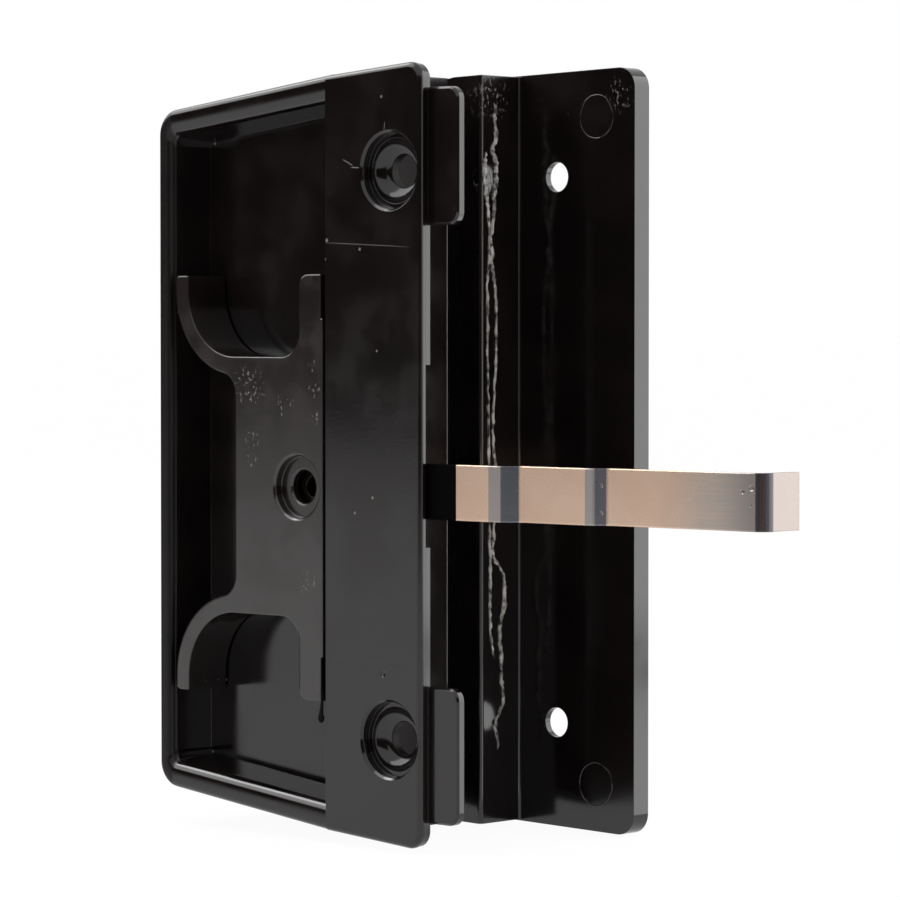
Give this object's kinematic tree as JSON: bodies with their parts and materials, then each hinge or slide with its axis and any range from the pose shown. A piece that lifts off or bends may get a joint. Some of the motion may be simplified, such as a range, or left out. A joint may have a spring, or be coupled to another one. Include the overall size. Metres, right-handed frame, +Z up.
{
  "type": "sliding screen door latch and pull",
  "caption": "Pair of flush cup pulls that clamp a screen door's stile, with thumb slides on both sides that raise a stepped steel hook latch.",
  "frame": {"origin": "on the face of the inside flange, midway between its two screw holes", "axes": "+X towards the door's edge, +Y from the room to the outside through the door, +Z up"},
  "size_m": [0.1341, 0.0464, 0.1322],
  "materials": {
    "black_plastic": "moulded black plastic with a satin to glossy skin",
    "steel": "bright rolled stainless strip"
  },
  "bodies": {
    "pulls": {"inside_pull": "black_plastic", "outside_pull": "black_plastic"},
    "latch": {"inside_slide": "black_plastic", "outside_slide": "black_plastic", "latch_hook": "steel"}
  },
  "joints": [
    {"name": "latch_slide", "type": "slide", "parent": "pulls", "child": "latch", "axis": [0, 0, 1], "range_m": [-0.00455, 0.01625]}
  ]
}
